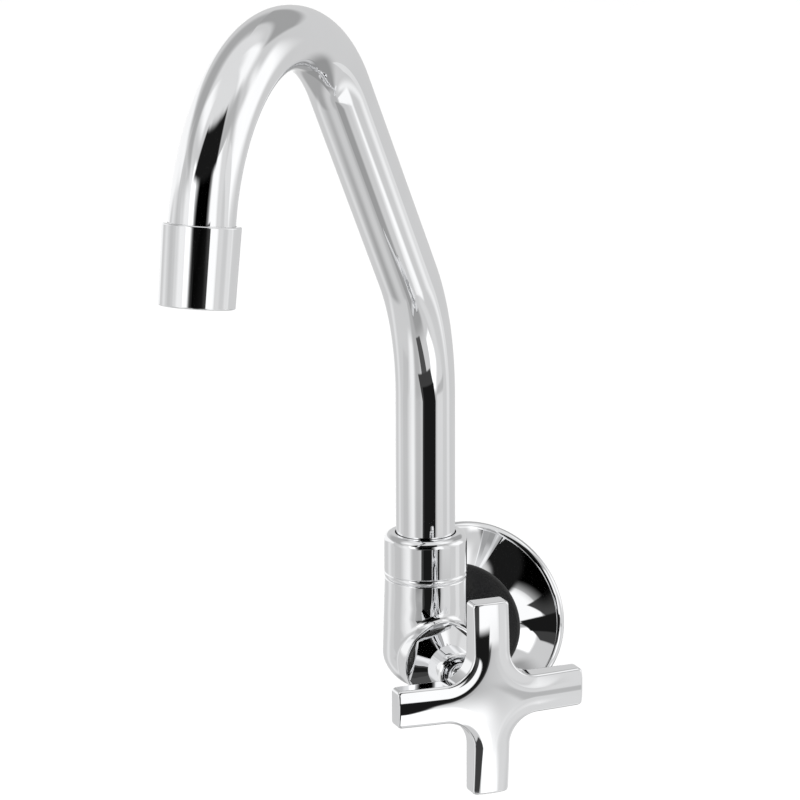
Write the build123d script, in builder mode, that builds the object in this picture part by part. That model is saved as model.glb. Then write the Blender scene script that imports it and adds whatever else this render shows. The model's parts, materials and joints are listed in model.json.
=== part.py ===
from build123d import *
import math
import os

os.makedirs("parts", exist_ok=True)

# Wall-mounted kitchen tap in millimetres and degrees.
# The origin is on the inlet axis in the plane of the wall. The room is at -Y, up is +Z.

# Clearances
running_gap = 0.08      # radial, a piece that turns in its bearing bore
free_gap = 0.35         # between curved faces that pass each other
seat_gap = 0.05         # between pieces that are fitted and stay put
stock_overlap = 1.0     # how far a joined shape runs into its neighbour
turning_margin = 0.1    # how far a turning profile stands outside the corners it trims

# Spout tube
tube_r = 10.0
tube_wall = 1.0
riser_height = 47.8     # straight tube above the collar nut
lean_bend_r = 73.0      # centre line of the lower bend
lean_angle = 37.3       # lean of the straight run from upright
lean_length = 89.7
arch_r = 55.9           # centre line of the hooked arch
arch_angle = 132.5
outlet_stub = 7.0       # tube inside the aerator shell

# Body casting
swivel_to_wall = 45.5   # from the wall to the swivel axis
seam_height = 26.6      # from the inlet axis to the joint under the collar nut
barrel_taper = 0.75     # growth of the barrel's radius towards the inlet axis
barrel_inset = 0.15     # barrel radius at the seam, inside the nut's radius
seam_round = 0.8
dome_depth = 13.0       # domed lower end, below the inlet axis
dome_knuckle_r = 10.0   # rounding from the barrel into the dome
boss_r = 13.9           # valve boss at its face
boss_root_r = 12.3      # at the swivel axis
boss_reach = 15.5       # from the swivel axis to the boss's face
boss_blend = 2.8        # fillet between boss and barrel
boss_excess = 5.6       # extra length of the boss, faced off after blending
boss_rim_round = 0.5
valve_angle = 45.0      # valve axis, from the wall's normal towards +X
neck_r = 11.0           # inlet neck behind the barrel
neck_blend = 1.5

# Spout socket on top of the body
socket_floor = 18.0     # above the inlet axis
spigot_height = 9.0     # threaded spigot above the seam
spigot_wall = 1.95
outlet_bore_r = 6.5

# Collar nut and what it holds down
nut_wall = 2.0
nut_lip_height = 3.5
nut_top_round = 2.6
nut_foot_round = 1.0
slip_thickness = 1.3
clip_height = 1.3
clip_grip = 1.1         # depth of the clip's groove in the spout base
clip_reach = 1.4        # how far the clip stands out of the tube
clip_opening = 40.0     # degrees
clip_cut = 8.0          # depth of the cut that leaves the opening

# Spout base and swivel seals
groove_share = 1.3      # height of a seal groove over the seal's thickness
base_bore_r = 6.4
base_spigot = 9.0       # length brazed into the tube
seal_section = 1.8      # thickness of the swivel O-rings
seal_spacing = 6.0
seal_from_end = 4.0

# Inlet shank, flange and washer
shank_r = 10.4775       # half-inch pipe thread, outer radius
shank_relief = 0.3
shank_length = 15.0     # behind the wall's surface
shank_chamfer = 1.0
inlet_bore_r = 6.5
inlet_bore_end = 12.0   # from the swivel axis
flange_r = 33.0
flange_height = 10.1
flange_wall = 0.9
flange_flat_r = 18.5    # flat middle under the washer
flange_lip = 1.5        # flat border outside the dome
flange_edge = 1.7       # height of the turned edge
flange_edge_round = 0.54
washer_r = 21.0
washer_thickness = 2.7
washer_round = 0.8

# Valve chamber in the boss, measured along the valve axis from the swivel axis
chamber_r = 9.3
valve_seat = -2.0       # seat plane of the cartridge
port_r = 4.0
port_depth = 3.5
thread_r = 10.0         # bonnet thread in the boss
thread_length = 10.0
thread_relief = 0.5     # bonnet thread stops short of the bottom of the boss thread

# Bonnet
gasket_thickness = 0.8
gasket_width = 2.4
hex_across_flats = 23.4
hex_height = 4.2
hex_cone_angle = 25.0   # turned cone on the face of the hexagon
hex_turn = 17.0         # how the hexagon came to rest when tightened
hex_foot_inset = 0.54   # corners turned down at the hexagon's foot
hex_foot_rise = 0.5
bonnet_neck_r = 7.6
bonnet_length = 13.7    # hexagon's foot to the front of the neck
neck_chamfer = 0.6
recess_r = 6.3          # recess round the stem in the front of the neck
recess_depth = 3.5
cartridge_r = 7.9       # bore round the ceramic discs
skirt_wall = 1.0
window_height = 3.2     # side windows of the skirt
window_width = 9.0
window_step = 0.5       # windows start above the fixed disc

# Ceramic discs, stem and seals
seat_seal_height = 1.8
seat_seal_land = 0.5    # from the port's edge to the seal
fixed_disc_height = 3.0
moving_disc_height = 2.8
disc_hub_r = 1.9
disc_port_r = 6.0
disc_port_arc = 76.0
disc_gap = 0.05
stem_r = 4.0
driver_height = 2.3
tongue_height = 1.6
tongue_width = 3.0
tongue_share = 0.9      # length of the tongue over the driver's diameter
stem_seal_section = 1.5
stem_seal_spacing = 3.6
stem_clip_height = 0.9
stem_clip_grip = 0.7
stem_clip_reach = 1.6
stem_clip_opening = 4.8
spline_r = 3.5
spline_depth = 0.5
spline_teeth = 16
spline_length = 17.0
spline_lead = 0.1       # splines start this far below the hub's end
spline_overlap = 0.2    # teeth rooted in the shaft

# Cross handle
handle_front = 58.6     # crest of the cross, from the swivel axis
handle_span = 65.7      # tip to tip
arm_thickness = 8.8     # at the middle of the cross
arm_tip_width = 12.6
arm_root_width = 13.0
arm_crown_r = 16.0      # rounding of the front across an arm
crown_share = 0.9       # half width of the crown's section over its radius
crest_share = 1.1       # half length of the crown's path over half the span
arm_tip_fall = 1.0      # how far the crest falls away towards the tips
arm_inner_fillet = 10.0
arm_corner = 1.5
arm_front_edge = 0.6
arm_back_edge = 1.4
hub_end_r = 5.1
hub_root_r = 6.4
hub_flare_r = 4.3
hub_recess = 1.8        # how far the hub enters the neck's recess
screw_r = 2.0
screw_length = 2.4
screw_from_back = 7.5   # screw's axis, in front of the cross's back
screw_hex = 2.0         # across flats
screw_socket = 1.4      # depth of the hexagon socket

# Aerator, measured along the outlet axis from the end of the arch
shell_length = 24.3
shell_top_r = 11.75
shell_foot_r = 11.35
shell_lip = 1.4         # inward lip at the foot
shell_lip_height = 1.6
shell_round = 0.5
ferrule_r = 10.9
ferrule_start = 0.8
ferrule_length = 6.2
aerator_washer_height = 1.5
aerator_washer_land = 1.5   # how far the washer reaches inside the tube's bore
housing_wall = 1.0
housing_land = 0.5      # how far the housing stands on the shell's lip
ledge_width = 1.2       # ledge under the diffuser
ledge_height = 1.0
diffuser_height = 1.2
diffuser_holes = 12     # in the outer ring, half as many in the inner one
diffuser_hole_r = 0.6
diffuser_outer_share = 0.72     # hole circle over the housing's bore radius
diffuser_inner_share = 0.4
screen_height = 0.4
screen_spacing = 1.6
screen_cell = 2.4
screen_hole = 1.7
grid_height = 2.4
grid_cell = 2.3         # across flats of one honeycomb cell
grid_web = 0.45

# Worked out from the sizes above
tube_bore_r = tube_r - tube_wall
socket_r = tube_r + seat_gap
spigot_r = socket_r + spigot_wall
nut_r = spigot_r + nut_wall
barrel_top_r = nut_r - barrel_inset
barrel_low_r = barrel_top_r + barrel_taper
spigot_top = seam_height + spigot_height
clip_bottom = spigot_top + seat_gap
clip_top = clip_bottom + clip_height
slip_bottom = clip_top + 2 * seat_gap
nut_lip_bottom = slip_bottom + slip_thickness
nut_top = nut_lip_bottom + nut_lip_height
tube_foot = clip_top + 0.5 * slip_thickness
base_r = socket_r - running_gap
base_bottom = socket_floor + free_gap
flange_face = -flange_height
washer_face = flange_face - washer_thickness

swivel_point = Vector(0, -swivel_to_wall, 0)
swivel_axis = Axis(swivel_point, (0, 0, 1))
upright_section = Plane(swivel_point, x_dir=(1, 0, 0), z_dir=(0, -1, 0))
spout_section = Plane(swivel_point, x_dir=(0, -1, 0), z_dir=(-1, 0, 0))

valve_turn = math.radians(valve_angle)
valve_dir = Vector(math.sin(valve_turn), -math.cos(valve_turn), 0)
valve_side = Vector(math.cos(valve_turn), math.sin(valve_turn), 0)
valve_axis = Axis(swivel_point, valve_dir)
valve_plane = Plane(swivel_point, x_dir=valve_side, z_dir=valve_dir)
valve_section = Plane(swivel_point, x_dir=valve_dir, z_dir=valve_dir.cross(Vector(0, 0, 1)))


def save(name, part):
    """Label one finished piece and write it under its own name."""
    part.label = name
    export_step(part, f"parts/{name}.step")


def seal_ring(section, axis, along, centre_r, thickness):
    """O-ring round an axis. The section plane's first direction runs along that axis."""
    with BuildPart() as ring:
        with BuildSketch(section):
            with Locations((along, centre_r)):
                Circle(thickness / 2)
        revolve(axis=axis)
    return ring.part


def flat_ring(plane, inner_r, outer_r, height):
    """Washer that stands on a plane."""
    with BuildPart() as ring:
        with BuildSketch(plane):
            Circle(outer_r)
            Circle(inner_r, mode=Mode.SUBTRACT)
        extrude(amount=height)
    return ring.part


# Valve body
# The dome is a shallow cap whose arc runs tangent into the knuckle's arc
port_end = valve_seat - port_depth
knuckle_reach = barrel_low_r - dome_knuckle_r
knuckle_rise = dome_depth - dome_knuckle_r
cap_centre = (knuckle_reach**2 - knuckle_rise**2) / (2 * knuckle_rise)
cap_r = dome_depth + cap_centre
cap_share = cap_r / (cap_r - dome_knuckle_r)
cap_end = (knuckle_reach * cap_share, cap_centre - cap_centre * cap_share)
with BuildPart() as valve_body:
    with BuildSketch(upright_section):
        with BuildLine():
            RadiusArc((0, -dome_depth), cap_end, -cap_r)
            RadiusArc(cap_end, (barrel_low_r, 0), -dome_knuckle_r)
            Line((barrel_low_r, 0), (barrel_top_r, seam_height - seam_round))
            RadiusArc(
                (barrel_top_r, seam_height - seam_round),
                (barrel_top_r - seam_round, seam_height),
                -seam_round,
            )
            Polyline(
                (barrel_top_r - seam_round, seam_height),
                (spigot_r, seam_height),
                (spigot_r, spigot_top),
                (0, spigot_top),
                (0, -dome_depth),
            )
        make_face()
    revolve(axis=swivel_axis)
    # Inlet neck
    with BuildSketch(Plane.XZ.offset(swivel_to_wall)):
        Circle(neck_r)
    extrude(amount=-(swivel_to_wall + washer_face))
    fillet(valve_body.edges(Select.LAST).filter_by(GeomType.BSPLINE), neck_blend)
    # The boss is made long for its blend and is faced off afterwards
    boss_stock = boss_reach + boss_excess
    stock_r = boss_root_r + (boss_r - boss_root_r) * boss_stock / boss_reach
    with BuildSketch(valve_section):
        with BuildLine():
            Polyline((0, 0), (0, boss_root_r), (boss_stock, stock_r), (boss_stock, 0), close=True)
        make_face()
    revolve(axis=valve_axis)
    fillet(valve_body.edges(Select.LAST).filter_by(GeomType.BSPLINE), boss_blend)
    with BuildSketch(valve_plane.offset(boss_reach)):
        Circle(2 * boss_r)
    extrude(amount=2 * boss_excess, mode=Mode.SUBTRACT)
    fillet(
        valve_body.faces().sort_by(valve_axis)[-1].outer_wire().edges(),
        boss_rim_round,
    )
    # Threaded shank
    with BuildSketch(Plane.XY):
        with BuildLine():
            Polyline(
                (0, washer_face - stock_overlap),
                (shank_r - shank_relief, washer_face - stock_overlap),
                (shank_r - shank_relief, 0),
                (shank_r, 0),
                (shank_r, shank_length - shank_chamfer),
                (shank_r - shank_chamfer, shank_length),
                (0, shank_length),
                close=True,
            )
        make_face()
    revolve(axis=Axis.Y)
    # Water way: inlet bore, slanting passage, seat port, valve chamber, riser and socket
    with BuildSketch(Plane.XZ.offset(-shank_length)):
        Circle(inlet_bore_r)
    extrude(amount=shank_length + swivel_to_wall - inlet_bore_end, mode=Mode.SUBTRACT)
    port_point = swivel_point + valve_dir * port_end
    inlet_point = swivel_point + Vector(0, inlet_bore_end + port_r, 0)
    passage = inlet_point - port_point
    with BuildSketch(Plane(port_point, z_dir=passage)):
        Circle(port_r)
    extrude(amount=passage.length, mode=Mode.SUBTRACT)
    with Locations(port_point):
        Sphere(port_r, mode=Mode.SUBTRACT)
    with BuildSketch(valve_plane.offset(port_end)):
        Circle(port_r)
    extrude(amount=port_depth, mode=Mode.SUBTRACT)
    with BuildSketch(valve_plane.offset(valve_seat)):
        Circle(chamber_r)
    extrude(amount=boss_reach - valve_seat, mode=Mode.SUBTRACT)
    with BuildSketch(valve_plane.offset(boss_reach - thread_length)):
        Circle(thread_r)
    extrude(amount=thread_length, mode=Mode.SUBTRACT)
    with BuildSketch(Plane(swivel_point)):
        Circle(outlet_bore_r)
    extrude(amount=socket_floor, mode=Mode.SUBTRACT)
    with BuildSketch(Plane(swivel_point + Vector(0, 0, socket_floor))):
        Circle(socket_r)
    extrude(amount=spigot_top - socket_floor, mode=Mode.SUBTRACT)
save("valve_body", valve_body.part)

# Wall flange
flange_rim = flange_r - flange_lip
with BuildPart() as wall_flange:
    with BuildSketch(Plane.XY):
        with BuildLine():
            Line((shank_r + free_gap, flange_face), (flange_flat_r, flange_face))
            TangentArc(
                (flange_flat_r, flange_face), (flange_rim, -flange_edge), tangent=(1, 0)
            )
            Polyline(
                (flange_rim, -flange_edge),
                (flange_r, -flange_edge),
                (flange_r, 0),
                (flange_r - flange_wall, 0),
                (flange_r - flange_wall, flange_wall - flange_edge),
                (flange_rim - flange_wall, flange_wall - flange_edge),
            )
            TangentArc(
                (flange_flat_r, flange_face + flange_wall),
                (flange_rim - flange_wall, flange_wall - flange_edge),
                tangent=(1, 0),
            )
            Polyline(
                (flange_flat_r, flange_face + flange_wall),
                (shank_r + free_gap, flange_face + flange_wall),
                (shank_r + free_gap, flange_face),
            )
        make_face()
    revolve(axis=Axis.Y)
    fillet(
        wall_flange.edges()
        .filter_by(GeomType.CIRCLE)
        .filter_by(lambda e: abs(e.radius - flange_r) < 0.01 and e.center().Y < -0.01),
        flange_edge_round,
    )
save("wall_flange", wall_flange.part)

# Black washer between flange and body
with BuildPart() as flange_washer:
    with BuildSketch(Plane.XZ.offset(-flange_face)):
        Circle(washer_r)
        Circle(shank_r - shank_relief + seat_gap, mode=Mode.SUBTRACT)
    extrude(amount=washer_thickness)
    fillet(flange_washer.faces().sort_by(Axis.Y)[0].outer_wire().edges(), washer_round)
save("flange_washer", flange_washer.part)

# Collar nut
lip_bore_r = tube_r + free_gap
with BuildPart() as spout_nut:
    with BuildSketch(upright_section):
        with BuildLine():
            RadiusArc(
                (nut_r - nut_foot_round, seam_height),
                (nut_r, seam_height + nut_foot_round),
                -nut_foot_round,
            )
            Line((nut_r, seam_height + nut_foot_round), (nut_r, nut_top - nut_top_round))
            RadiusArc(
                (nut_r, nut_top - nut_top_round),
                (nut_r - nut_top_round, nut_top),
                -nut_top_round,
            )
            Polyline(
                (nut_r - nut_top_round, nut_top),
                (lip_bore_r, nut_top),
                (lip_bore_r, nut_lip_bottom),
                (spigot_r + seat_gap, nut_lip_bottom),
                (spigot_r + seat_gap, seam_height),
                (nut_r - nut_foot_round, seam_height),
            )
        make_face()
    revolve(axis=swivel_axis)
save("spout_nut", spout_nut.part)

# Slip washer under the nut's lip
slip_plane = Plane(swivel_point + Vector(0, 0, slip_bottom))
save("slip_washer", flat_ring(slip_plane, lip_bore_r, spigot_r, slip_thickness))

# Spout tube, swept along upright, bend, lean, arch and outlet stub
with BuildPart() as spout_tube:
    with BuildLine(spout_section) as spout_path:
        riser = Line((0, tube_foot), (0, nut_top + riser_height))
        bend = JernArc(riser @ 1, riser % 1, lean_bend_r, -lean_angle)
        lean = Line(bend @ 1, bend @ 1 + (bend % 1) * lean_length)
        arch = JernArc(lean @ 1, lean % 1, arch_r, -arch_angle)
        stub = Line(arch @ 1, arch @ 1 + (arch % 1) * outlet_stub)
    with BuildSketch(Plane(riser @ 0)):
        Circle(tube_r)
        Circle(tube_bore_r, mode=Mode.SUBTRACT)
    sweep()
save("spout_tube", spout_tube.part)

outlet_point = arch @ 1
outlet_dir = (arch % 1).normalized()
outlet_axis = Axis(outlet_point, outlet_dir)
outlet_plane = Plane(outlet_point, x_dir=(1, 0, 0), z_dir=outlet_dir)
outlet_section = Plane(outlet_point, x_dir=outlet_dir, z_dir=(1, 0, 0))

# Spout base, brazed into the foot of the tube
seal_groove_r = base_r - seal_section
with BuildPart() as spout_base:
    with BuildSketch(upright_section):
        with BuildLine():
            Polyline(
                (base_bore_r, base_bottom),
                (base_r, base_bottom),
                (base_r, tube_foot),
                (tube_bore_r - seat_gap, tube_foot),
                (tube_bore_r - seat_gap, tube_foot + base_spigot),
                (base_bore_r, tube_foot + base_spigot),
                close=True,
            )
        make_face()
        groove_height = groove_share * seal_section
        seal_low = base_bottom + seal_from_end
        for seal_z in (seal_low, seal_low + seal_spacing):
            with Locations(((seal_groove_r + base_r) / 2, seal_z)):
                Rectangle(base_r - seal_groove_r, groove_height, mode=Mode.SUBTRACT)
        with Locations((base_r - clip_grip / 2, (clip_bottom + clip_top) / 2)):
            Rectangle(clip_grip, clip_top - clip_bottom, mode=Mode.SUBTRACT)
    revolve(axis=swivel_axis)
save("spout_base", spout_base.part)

upright_rings = Plane(swivel_point, x_dir=(0, 0, 1), z_dir=(0, 1, 0))
ring_centre_r = base_r - seal_section / 2
for name, seal_z in (
    ("spout_seal_lower", seal_low),
    ("spout_seal_upper", seal_low + seal_spacing),
):
    save(name, seal_ring(upright_rings, swivel_axis, seal_z, ring_centre_r, seal_section))

# Split clip that keeps the spout down
with BuildPart() as spout_clip:
    with BuildSketch(Plane(swivel_point + Vector(0, 0, clip_bottom))):
        Circle(tube_r + clip_reach)
        Circle(base_r - clip_grip + seat_gap, mode=Mode.SUBTRACT)
        with Locations((0, tube_r)):
            opening = 2 * tube_r * math.sin(math.radians(clip_opening / 2))
            Rectangle(opening, clip_cut, mode=Mode.SUBTRACT)
    extrude(amount=clip_height)
save("spout_clip", spout_clip.part)

# Threaded ferrule on the spout's end
ferrule_plane = outlet_plane.offset(ferrule_start)
save("outlet_ferrule", flat_ring(ferrule_plane, tube_r, ferrule_r, ferrule_length))

# Aerator shell
washer_top = outlet_stub + seat_gap
housing_top = washer_top + aerator_washer_height
grid_foot = shell_length - shell_lip_height
housing_r = shell_foot_r - shell_lip + housing_land
with BuildPart() as aerator_shell:
    with BuildSketch(outlet_section):
        with BuildLine():
            Polyline(
                (0, ferrule_r + seat_gap),
                (0, shell_top_r),
                (shell_length, shell_foot_r),
                (shell_length, shell_foot_r - shell_lip),
                (grid_foot, shell_foot_r - shell_lip),
                (grid_foot, housing_r + seat_gap),
                (housing_top, housing_r + seat_gap),
                (housing_top, ferrule_r + seat_gap),
                close=True,
            )
        make_face()
    revolve(axis=outlet_axis)
    for end in (0, -1):
        fillet(aerator_shell.faces().sort_by(outlet_axis)[end].outer_wire().edges(), shell_round)
save("aerator_shell", aerator_shell.part)

# Rubber ring between spout end and housing
washer_plane = outlet_plane.offset(washer_top)
washer_inner_r = tube_bore_r - aerator_washer_land
washer_outer_r = ferrule_r - seat_gap
washer_height = aerator_washer_height - seat_gap
save("aerator_washer", flat_ring(washer_plane, washer_inner_r, washer_outer_r, washer_height))

# Plastic housing of the aerator insert
grid_top = grid_foot - grid_height
housing_bore_r = housing_r - housing_wall
diffuser_top = housing_top + seat_gap
ledge_top = diffuser_top + diffuser_height + seat_gap
with BuildPart() as aerator_housing:
    with BuildSketch(outlet_plane.offset(housing_top)):
        Circle(housing_r)
        Circle(housing_bore_r, mode=Mode.SUBTRACT)
    extrude(amount=grid_top - housing_top)
    with BuildSketch(outlet_plane.offset(ledge_top)):
        Circle(housing_bore_r)
        Circle(housing_bore_r - ledge_width, mode=Mode.SUBTRACT)
    extrude(amount=ledge_height)
save("aerator_housing", aerator_housing.part)

# Drilled plate that breaks the flow into jets
with BuildPart() as aerator_diffuser:
    with BuildSketch(outlet_plane.offset(diffuser_top)):
        Circle(housing_bore_r - seat_gap)
        with PolarLocations(diffuser_outer_share * housing_bore_r, diffuser_holes):
            Circle(diffuser_hole_r, mode=Mode.SUBTRACT)
        with PolarLocations(diffuser_inner_share * housing_bore_r, diffuser_holes // 2):
            Circle(diffuser_hole_r, mode=Mode.SUBTRACT)
    extrude(amount=diffuser_height)
save("aerator_diffuser", aerator_diffuser.part)


def square_places(reach, pitch):
    """Centres of a square grid that lie within a circle."""
    count = int(reach // pitch)
    steps = [pitch * i for i in range(-count, count + 1)]
    return [(x, y) for x in steps for y in steps if math.hypot(x, y) <= reach]


def honeycomb_places(reach, pitch):
    """Centres of a hexagonal pattern that lie within a circle."""
    row_pitch = pitch * math.sqrt(3) / 2
    rows = int(reach // row_pitch)
    columns = int(reach // pitch) + 1
    places = []
    for row in range(-rows, rows + 1):
        for column in range(-columns, columns + 1):
            x = (column + 0.5 * (row % 2)) * pitch
            y = row * row_pitch
            if math.hypot(x, y) <= reach:
                places.append((x, y))
    return places


# Two fine screens in one group
screen_r = housing_bore_r - seat_gap
screen_top = ledge_top + ledge_height + seat_gap
with BuildPart() as aerator_screens:
    for level in (screen_top, screen_top + screen_spacing):
        with BuildSketch(outlet_plane.offset(level)):
            Circle(screen_r)
            with Locations(*square_places(screen_r - screen_cell, screen_cell)):
                Rectangle(screen_hole, screen_hole, mode=Mode.SUBTRACT)
        extrude(amount=screen_height)
save("aerator_screens", aerator_screens.part)

# Honeycomb at the mouth
grid_pitch = grid_cell + grid_web
cell_corner_r = grid_cell / math.sqrt(3)
with BuildPart() as aerator_grid:
    with BuildSketch(outlet_plane.offset(grid_top)):
        Circle(housing_r)
        with Locations(*honeycomb_places(shell_foot_r - shell_lip - cell_corner_r, grid_pitch)):
            RegularPolygon(cell_corner_r, 6, rotation=30, mode=Mode.SUBTRACT)
    extrude(amount=grid_height)
save("aerator_grid", aerator_grid.part)

# Bonnet: skirt round the discs, thread, hexagon, cone and neck
hex_foot = boss_reach + gasket_thickness
hex_top = hex_foot + hex_height
neck_front = hex_foot + bonnet_length
hex_corner_r = hex_across_flats / math.sqrt(3)
disc_foot = valve_seat + seat_seal_height
moving_foot = disc_foot + fixed_disc_height + disc_gap
driver_foot = moving_foot + moving_disc_height + disc_gap
driver_top = driver_foot + driver_height
cartridge_top = driver_top + free_gap
skirt_r = cartridge_r + skirt_wall
hex_blank_r = hex_corner_r + turning_margin
thread_foot = boss_reach - thread_length + thread_relief
window_foot = disc_foot + fixed_disc_height + window_step
window_room = min(window_height, driver_foot - disc_foot - fixed_disc_height)
cone_drop = (hex_corner_r - bonnet_neck_r) * math.tan(math.radians(hex_cone_angle))
recess_floor = neck_front - recess_depth
bore_r = stem_r + running_gap
with BuildPart() as bonnet:
    with BuildSketch(valve_plane.offset(hex_foot)):
        RegularPolygon(hex_corner_r, 6, rotation=hex_turn)
    extrude(amount=hex_height)
    with BuildSketch(valve_section):
        with BuildLine():
            Polyline(
                (hex_foot, 0),
                (hex_foot, hex_corner_r - hex_foot_inset),
                (hex_foot + hex_foot_rise, hex_blank_r),
                (hex_top - cone_drop, hex_blank_r),
                (hex_top, bonnet_neck_r),
                (hex_top, 0),
                close=True,
            )
        make_face()
    revolve(axis=valve_axis, mode=Mode.INTERSECT)
    with BuildSketch(valve_section):
        with BuildLine():
            Polyline(
                (disc_foot, 0),
                (disc_foot, skirt_r),
                (thread_foot, skirt_r),
                (thread_foot, thread_r - seat_gap),
                (hex_foot, thread_r - seat_gap),
                (hex_foot, bonnet_neck_r),
                (neck_front - neck_chamfer, bonnet_neck_r),
                (neck_front, bonnet_neck_r - neck_chamfer),
                (neck_front, 0),
                close=True,
            )
        make_face()
    revolve(axis=valve_axis)
    with BuildSketch(valve_section):
        with BuildLine():
            Polyline(
                (disc_foot, 0),
                (disc_foot, cartridge_r),
                (cartridge_top, cartridge_r),
                (cartridge_top, bore_r),
                (recess_floor, bore_r),
                (recess_floor, recess_r),
                (neck_front, recess_r),
                (neck_front, 0),
                close=True,
            )
        make_face()
    revolve(axis=valve_axis, mode=Mode.SUBTRACT)
    with BuildSketch(valve_plane.offset(window_foot)):
        Rectangle(2 * (skirt_r + stock_overlap), window_width)
    extrude(amount=window_room, mode=Mode.SUBTRACT)
save("bonnet", bonnet.part)

# Flat gasket under the hexagon
gasket_plane = valve_plane.offset(boss_reach)
save(
    "bonnet_washer",
    flat_ring(gasket_plane, thread_r + seat_gap, thread_r + gasket_width, gasket_thickness),
)

# Rubber ring under the fixed disc
seal_plane = valve_plane.offset(valve_seat)
save(
    "seat_seal",
    flat_ring(seal_plane, port_r + seat_seal_land, cartridge_r - seat_gap, seat_seal_height),
)


def ceramic_disc(foot, height, outer_r, turn):
    """Disc with two sector ports round a solid middle."""
    half_arc = disc_port_arc / 2
    with BuildPart() as disc:
        with BuildSketch(valve_plane.offset(foot)):
            Circle(outer_r)
            for middle in (turn, turn + 180):
                with BuildSketch(mode=Mode.PRIVATE) as port:
                    with BuildLine():
                        outer = CenterArc((0, 0), disc_port_r, middle - half_arc, disc_port_arc)
                        inner = CenterArc((0, 0), disc_hub_r, middle - half_arc, disc_port_arc)
                        Line(outer @ 0, inner @ 0)
                        Line(outer @ 1, inner @ 1)
                    make_face()
                add(port.sketch, mode=Mode.SUBTRACT)
        extrude(amount=height)
    return disc


# Ceramic discs, closed at rest because their ports stand crosswise
fixed_disc = ceramic_disc(disc_foot, fixed_disc_height, cartridge_r - seat_gap, 0)
save("fixed_disc", fixed_disc.part)
moving_disc = ceramic_disc(moving_foot, moving_disc_height, cartridge_r - free_gap, 90)
with BuildPart() as slotted_disc:
    add(moving_disc.part)
    with BuildSketch(valve_plane.offset(moving_foot + moving_disc_height - tongue_height)):
        Rectangle(2 * cartridge_r, tongue_width + 2 * seat_gap)
    extrude(amount=tongue_height, mode=Mode.SUBTRACT)
save("moving_disc", slotted_disc.part)


def spline_profile(outer_r, root_r):
    """Outline of a splined shaft in the middle of the current sketch."""
    Circle(root_r)
    tooth_width = math.pi * root_r / spline_teeth
    with PolarLocations((root_r + outer_r - spline_overlap) / 2, spline_teeth):
        Rectangle(outer_r - root_r + spline_overlap, tooth_width)


# Stem with drive tongue, seal grooves, clip groove and splines
hub_end = neck_front - hub_recess
spline_start = hub_end - spline_lead
stem_end = spline_start + spline_length
stem_seal_mid = (cartridge_top + recess_floor) / 2
stem_seal_places = (
    stem_seal_mid - stem_seal_spacing / 2,
    stem_seal_mid + stem_seal_spacing / 2,
)
stem_clip_foot = recess_floor + seat_gap
driver_r = cartridge_r - free_gap
with BuildPart() as stem:
    with BuildSketch(valve_section):
        with BuildLine():
            Polyline(
                (driver_foot, 0),
                (driver_foot, driver_r),
                (driver_top, driver_r),
                (driver_top, stem_r),
                (spline_start, stem_r),
                (spline_start, 0),
                close=True,
            )
        make_face()
        for place in stem_seal_places:
            with Locations((place, stem_r - stem_seal_section / 2)):
                Rectangle(groove_share * stem_seal_section, stem_seal_section, mode=Mode.SUBTRACT)
        with Locations((stem_clip_foot + stem_clip_height / 2, stem_r - stem_clip_grip / 2)):
            Rectangle(stem_clip_height + seat_gap, stem_clip_grip, mode=Mode.SUBTRACT)
    revolve(axis=valve_axis)
    with BuildSketch(valve_plane.offset(driver_foot - tongue_height + seat_gap)):
        Rectangle(2 * tongue_share * driver_r, tongue_width)
    extrude(amount=tongue_height)
    with BuildSketch(valve_plane.offset(spline_start)):
        spline_profile(spline_r, spline_r - spline_depth)
    extrude(amount=spline_length)
save("stem", stem.part)

for name, place in zip(("stem_seal_inner", "stem_seal_outer"), stem_seal_places):
    save(
        name,
        seal_ring(valve_section, valve_axis, place, stem_r - stem_seal_section / 2, stem_seal_section),
    )

# Clip that keeps the stem in the bonnet
with BuildPart() as stem_clip:
    with BuildSketch(valve_plane.offset(stem_clip_foot)):
        Circle(stem_r + stem_clip_reach)
        Circle(stem_r - stem_clip_grip + seat_gap, mode=Mode.SUBTRACT)
        with Locations((0, -stem_r - stem_clip_reach / 2)):
            Rectangle(stem_clip_opening, stem_r + 2 * stem_clip_reach, mode=Mode.SUBTRACT)
    extrude(amount=stem_clip_height)
save("stem_clip", stem_clip.part)

# Cross handle
handle_back = handle_front - arm_thickness
tip = handle_span / 2
crest_point = swivel_point + valve_dir * handle_front
crown_half = crown_share * arm_crown_r
crown_drop = arm_crown_r - math.sqrt(arm_crown_r**2 - crown_half**2)
crest_r = (tip**2 + arm_tip_fall**2) / (2 * arm_tip_fall)
crest_half = crest_share * tip
crest_fall = valve_dir * (crest_r - math.sqrt(crest_r**2 - crest_half**2))
with BuildPart() as crown:
    for along in (valve_side, Vector(0, 0, 1)):
        with BuildLine() as crest:
            ThreePointArc(
                crest_point - along * crest_half - crest_fall,
                crest_point,
                crest_point + along * crest_half - crest_fall,
            )
        crest_start = Plane(crest.line @ 0, x_dir=valve_dir.cross(along), z_dir=crest.line % 0)
        with BuildSketch(crest_start):
            with BuildLine():
                ThreePointArc((-crown_half, -crown_drop), (0, 0), (crown_half, -crown_drop))
                Polyline(
                    (crown_half, -crown_drop),
                    (crown_half, -2 * arm_thickness),
                    (-crown_half, -2 * arm_thickness),
                    (-crown_half, -crown_drop),
                )
            make_face()
        sweep(path=crest.line)


def cross_rim(cross, side):
    """Edges that run round the cross on its front or its back."""
    walls = cross.faces().filter_by(lambda face: abs(face.normal_at().dot(valve_dir)) < 0.05)
    round_edges = walls.edges().filter_by(lambda edge: abs((edge % 0.5).dot(valve_dir)) < 0.7)
    return round_edges.filter_by(
        lambda edge: abs((edge.center() - swivel_point).dot(valve_dir) - side) < arm_thickness / 2
    )


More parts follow.
